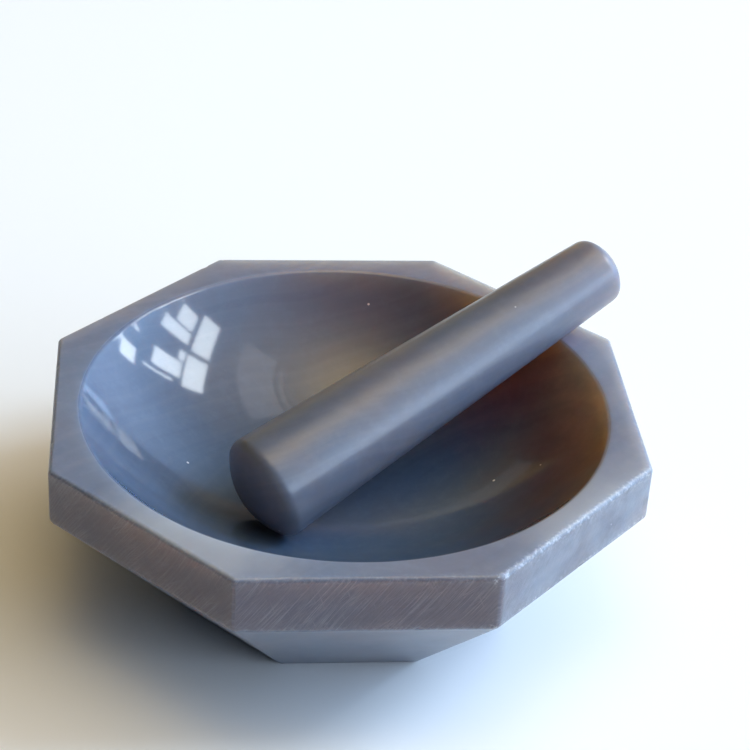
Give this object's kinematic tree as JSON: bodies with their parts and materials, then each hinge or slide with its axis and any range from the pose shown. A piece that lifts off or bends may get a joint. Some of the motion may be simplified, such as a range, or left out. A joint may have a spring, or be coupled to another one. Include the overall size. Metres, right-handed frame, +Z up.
{
  "type": "mortar and pestle",
  "caption": "Octagonal agate laboratory mortar with a polished shallow bowl, and a loose tapered pestle that rests in it and grinds powders.",
  "frame": {"origin": "centre of the flat underside of the mortar, on the axis of its bowl", "axes": "+Z up along the bowl's axis; -Y out through the middle of one of the octagon's eight flats; the pestle leans 32.3 degrees from +X towards +Y"},
  "size_m": [0.1016, 0.1, 0.0509],
  "materials": {
    "mortar_agate": "grey agate, bowl and rim polished to a gloss, upright band and bevels ground to a satin finish with fine scratches",
    "pestle_agate": "grey agate with faint lengthwise banding, polished to a gloss"
  },
  "bodies": {
    "mortar": {"mortar": "mortar_agate"},
    "pestle": {"pestle": "pestle_agate"}
  },
  "joints": [
    {"name": "pestle_lift", "type": "slide", "parent": "mortar", "child": "pestle", "axis": [0, 0, 1], "range_m": [0, 0.08]}
  ]
}
